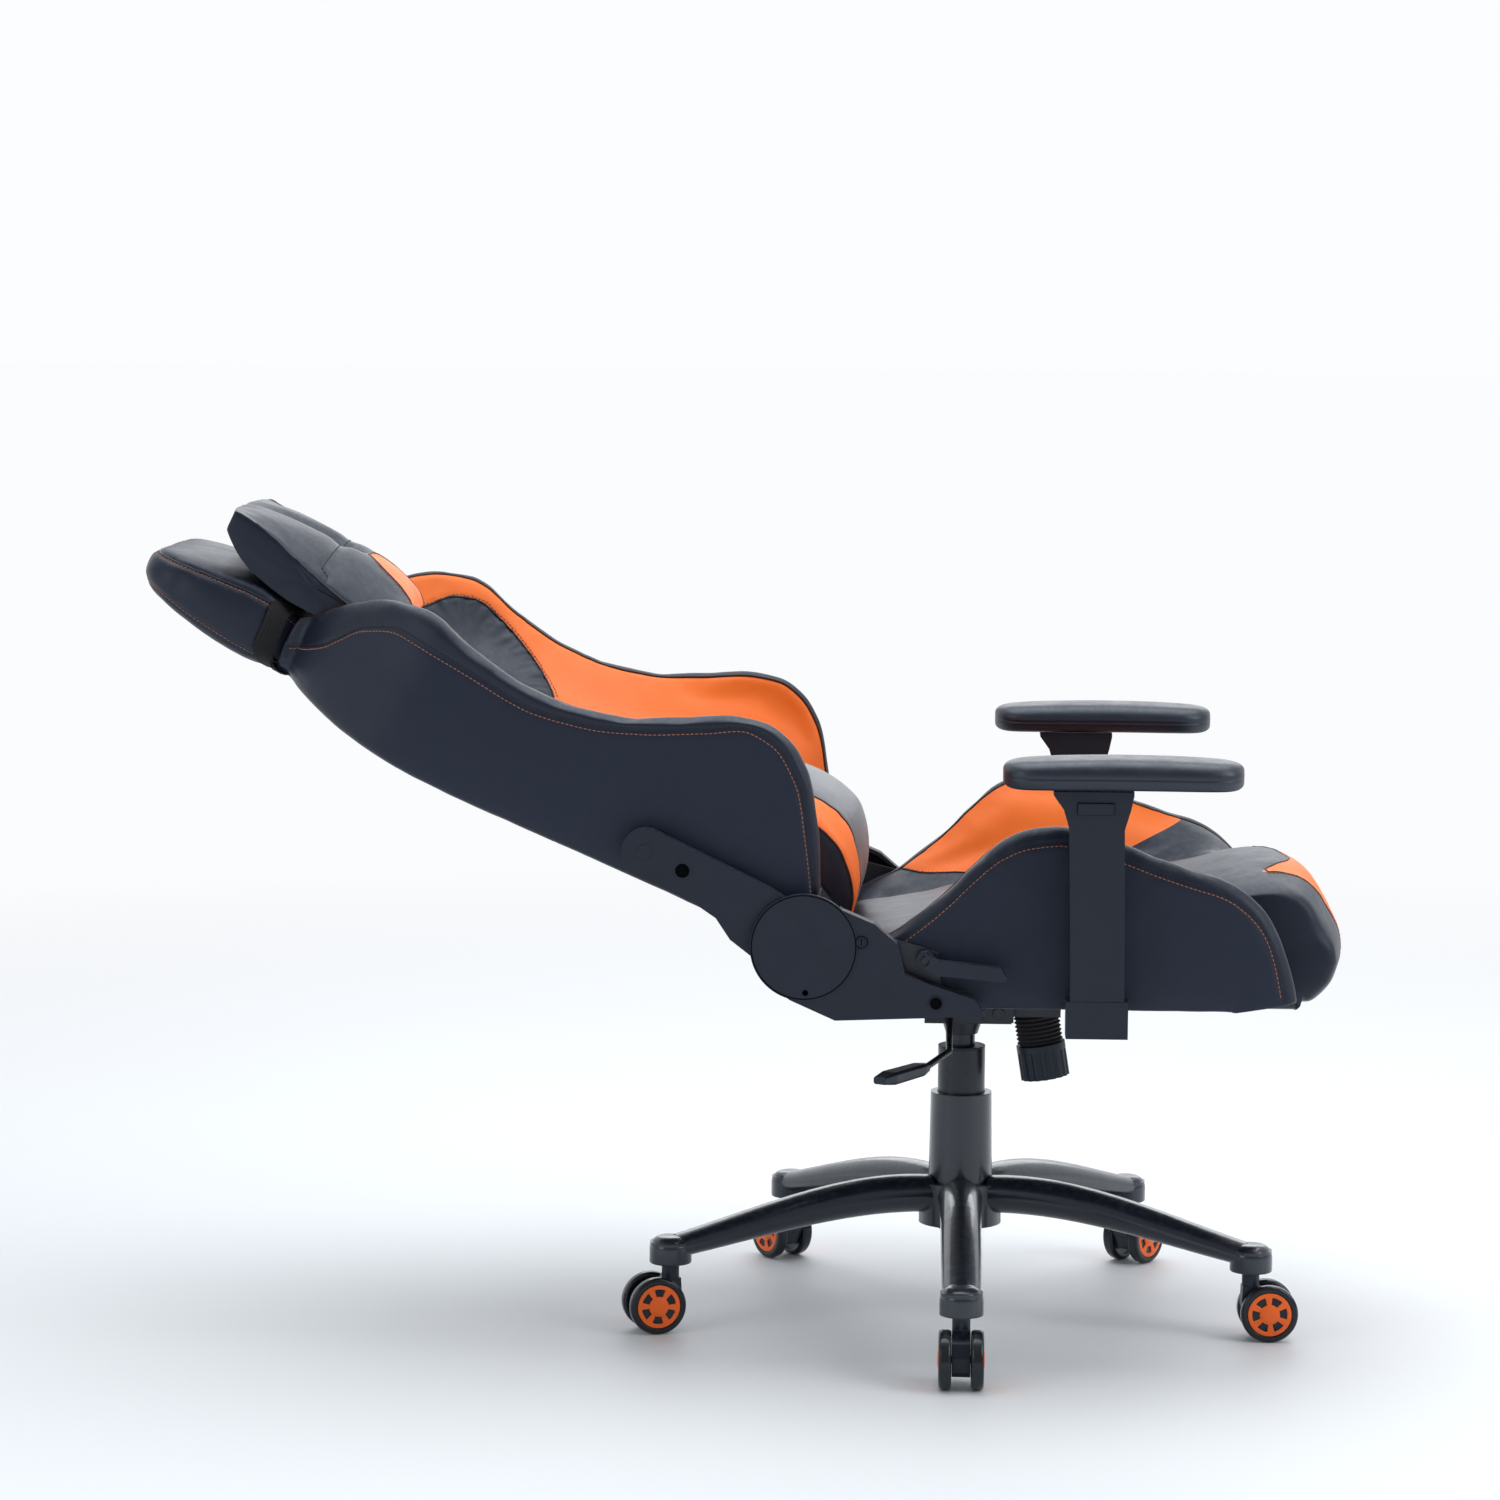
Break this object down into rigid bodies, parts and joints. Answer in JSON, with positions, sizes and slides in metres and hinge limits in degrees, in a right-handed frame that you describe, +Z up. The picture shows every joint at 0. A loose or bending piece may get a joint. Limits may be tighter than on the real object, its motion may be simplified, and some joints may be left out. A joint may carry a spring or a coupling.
{
  "type": "gaming chair",
  "caption": "Reclining racing-style office chair with side wings, head and lumbar pillows, lift-adjustable arms, a tilt mechanism, a gas lift and a castered star base.",
  "frame": {"origin": "on the floor under the axis of the gas lift", "axes": "+X the way the sitter faces, +Y the sitter's left, +Z up; backrest stored reclined"},
  "size_m": [1.251, 0.693, 0.8609],
  "materials": {
    "base_nylon": "satin",
    "black_plastic": "matte",
    "caster_plastic": "satin",
    "caster_tyre": "gloss",
    "zinc_steel": "brushed",
    "black_steel": "satin",
    "rubber": "matte",
    "pad_foam": "matte",
    "foam_leather": "matte",
    "strap_web": "matte"
  },
  "bodies": {
    "base": {"star_base": "base_nylon", "caster_stems": "zinc_steel", "lift_cylinder": "black_steel", "lift_bush": "black_plastic", "lift_cover": "base_nylon"},
    "spindle": {"piston_rod": "zinc_steel"},
    "mechanism": {"lift_tube": "black_steel", "tilt_housing": "black_steel", "tilt_pin": "zinc_steel", "spring_boot": "rubber", "tension_spring": "zinc_steel"},
    "lift_lever": {"lift_lever": "black_steel", "lift_paddle": "black_plastic"},
    "seat": {"tilt_plate": "black_steel", "tension_bolt": "zinc_steel", "seat_frame": "black_steel", "seat_cushion": "foam_leather", "seat_bolster_right": "foam_leather", "seat_bolster_left": "foam_leather", "recliner_plates": "black_steel", "recliner_cover_right": "black_plastic", "recliner_cover_left": "black_plastic", "seat_screws": "zinc_steel", "arm_post_right": "black_plastic", "arm_post_left": "black_plastic"},
    "tension_knob": {"tension_knob": "black_plastic"},
    "recline_lever": {"recline_lever": "black_plastic"},
    "back": {"recline_shaft": "zinc_steel", "back_bracket_right": "black_plastic", "back_bracket_left": "black_plastic", "bracket_bolts": "zinc_steel", "back_frame": "black_steel", "back_cushion": "foam_leather", "back_wing_right": "foam_leather", "back_wing_left": "foam_leather", "headrest": "foam_leather", "head_pillow": "foam_leather", "pillow_strap": "strap_web"},
    "lumbar_pillow": {"lumbar_pillow": "foam_leather"},
    "arm_right": {"arm_sleeve_right": "black_plastic", "arm_pad_right": "pad_foam"},
    "arm_left": {"arm_sleeve_left": "black_plastic", "arm_pad_left": "pad_foam"},
    "button_right": {"arm_button_right": "black_plastic"},
    "button_left": {"arm_button_left": "black_plastic"},
    "caster_1": {"caster_1_hood": "caster_plastic"},
    "caster_1_wheel_a": {"caster_1_wheel_a": "caster_tyre"},
    "caster_1_wheel_b": {"caster_1_wheel_b": "caster_tyre"},
    "caster_2": {"caster_2_hood": "caster_plastic"},
    "caster_2_wheel_a": {"caster_2_wheel_a": "caster_tyre"},
    "caster_2_wheel_b": {"caster_2_wheel_b": "caster_tyre"},
    "caster_3": {"caster_3_hood": "caster_plastic"},
    "caster_3_wheel_a": {"caster_3_wheel_a": "caster_tyre"},
    "caster_3_wheel_b": {"caster_3_wheel_b": "caster_tyre"},
    "caster_4": {"caster_4_hood": "caster_plastic"},
    "caster_4_wheel_a": {"caster_4_wheel_a": "caster_tyre"},
    "caster_4_wheel_b": {"caster_4_wheel_b": "caster_tyre"},
    "caster_5": {"caster_5_hood": "caster_plastic"},
    "caster_5_wheel_a": {"caster_5_wheel_a": "caster_tyre"},
    "caster_5_wheel_b": {"caster_5_wheel_b": "caster_tyre"}
  },
  "joints": [
    {"name": "column_swivel", "type": "hinge", "parent": "base", "child": "spindle", "pos_m": [0, 0, 0.2], "axis": [0, 0, 1], "continuous": true},
    {"name": "seat_height", "type": "slide", "parent": "spindle", "child": "mechanism", "axis": [0, 0, 1], "range_m": [0, 0.08]},
    {"name": "seat_rock", "type": "hinge", "parent": "mechanism", "child": "seat", "pos_m": [0.038, 0, 0.332], "axis": [0, -1, 0], "range_deg": [0, 12], "stiffness_Nm_per_rad": 130, "springref_deg": -25.78, "deforming": ["spring_boot", "tension_spring"]},
    {"name": "lift_lever_pull", "type": "hinge", "parent": "mechanism", "child": "lift_lever", "pos_m": [-0.014, -0.031, 0.329], "axis": [-1, 0, 0], "range_deg": [0, 8], "stiffness_Nm_per_rad": 6, "springref_deg": -8.59},
    {"name": "tension_knob_turn", "type": "hinge", "parent": "seat", "child": "tension_knob", "pos_m": [0.078, 0, 0.33], "axis": [-0.1564, 0, 0.9877], "continuous": true},
    {"name": "recline", "type": "hinge", "parent": "seat", "child": "back", "pos_m": [-0.162, 0, 0.437], "axis": [0, 1, 0], "range_deg": [0, 60]},
    {"name": "recline_lever_lift", "type": "hinge", "parent": "seat", "child": "recline_lever", "pos_m": [-0.04, -0.28, 0.424], "axis": [0, -1, 0], "range_deg": [0, 20], "stiffness_Nm_per_rad": 0.8, "springref_deg": -11.46},
    {"name": "lumbar_height", "type": "slide", "parent": "back", "child": "lumbar_pillow", "axis": [-0.8988, 0, 0.4384], "range_m": [0, 0.06]},
    {"name": "arm_height_right", "type": "slide", "parent": "seat", "child": "arm_right", "axis": [0, 0, 1], "range_m": [0, 0.07]},
    {"name": "arm_height_left", "type": "slide", "parent": "seat", "child": "arm_left", "axis": [0, 0, 1], "range_m": [0, 0.07]},
    {"name": "arm_button_press_right", "type": "slide", "parent": "arm_right", "child": "button_right", "axis": [0, 1, 0], "range_m": [0, 0.0025], "stiffness_N_per_m": 300, "springref_m": -0.002},
    {"name": "arm_button_press_left", "type": "slide", "parent": "arm_left", "child": "button_left", "axis": [0, -1, 0], "range_m": [0, 0.0025], "stiffness_N_per_m": 300, "springref_m": -0.002},
    {"name": "caster_1_swivel", "type": "hinge", "parent": "base", "child": "caster_1", "pos_m": [0, -0.32, 0.06], "axis": [0, 0, 1], "continuous": true},
    {"name": "caster_1_roll_a", "type": "hinge", "parent": "caster_1", "child": "caster_1_wheel_a", "pos_m": [0, -0.338, 0.03], "axis": [1, 0, 0], "continuous": true},
    {"name": "caster_1_roll_b", "type": "hinge", "parent": "caster_1", "child": "caster_1_wheel_b", "pos_m": [0, -0.338, 0.03], "axis": [1, 0, 0], "continuous": true},
    {"name": "caster_2_swivel", "type": "hinge", "parent": "base", "child": "caster_2", "pos_m": [0.30434, -0.09889, 0.06], "axis": [0, 0, 1], "continuous": true},
    {"name": "caster_2_roll_a", "type": "hinge", "parent": "caster_2", "child": "caster_2_wheel_a", "pos_m": [0.32231, -0.09794, 0.03], "axis": [-0.0523, 0.9986, 0], "continuous": true},
    {"name": "caster_2_roll_b", "type": "hinge", "parent": "caster_2", "child": "caster_2_wheel_b", "pos_m": [0.32231, -0.09794, 0.03], "axis": [-0.0523, 0.9986, 0], "continuous": true},
    {"name": "caster_3_swivel", "type": "hinge", "parent": "base", "child": "caster_3", "pos_m": [0.18809, 0.25888, 0.06], "axis": [0, 0, 1], "continuous": true},
    {"name": "caster_3_roll_a", "type": "hinge", "parent": "caster_3", "child": "caster_3_wheel_a", "pos_m": [0.19867, 0.27345, 0.03], "axis": [-0.809, 0.5878, 0], "continuous": true},
    {"name": "caster_3_roll_b", "type": "hinge", "parent": "caster_3", "child": "caster_3_wheel_b", "pos_m": [0.19867, 0.27345, 0.03], "axis": [-0.809, 0.5878, 0], "continuous": true},
    {"name": "caster_4_swivel", "type": "hinge", "parent": "base", "child": "caster_4", "pos_m": [-0.18809, 0.25888, 0.06], "axis": [0, 0, 1], "continuous": true},
    {"name": "caster_4_roll_a", "type": "hinge", "parent": "caster_4", "child": "caster_4_wheel_a", "pos_m": [-0.19867, 0.27345, 0.03], "axis": [-0.809, -0.5878, 0], "continuous": true},
    {"name": "caster_4_roll_b", "type": "hinge", "parent": "caster_4", "child": "caster_4_wheel_b", "pos_m": [-0.19867, 0.27345, 0.03], "axis": [-0.809, -0.5878, 0], "continuous": true},
    {"name": "caster_5_swivel", "type": "hinge", "parent": "base", "child": "caster_5", "pos_m": [-0.30434, -0.09889, 0.06], "axis": [0, 0, 1], "continuous": true},
    {"name": "caster_5_roll_a", "type": "hinge", "parent": "caster_5", "child": "caster_5_wheel_a", "pos_m": [-0.32146, -0.10445, 0.03], "axis": [0.309, -0.9511, 0], "continuous": true},
    {"name": "caster_5_roll_b", "type": "hinge", "parent": "caster_5", "child": "caster_5_wheel_b", "pos_m": [-0.32146, -0.10445, 0.03], "axis": [0.309, -0.9511, 0], "continuous": true}
  ]
}
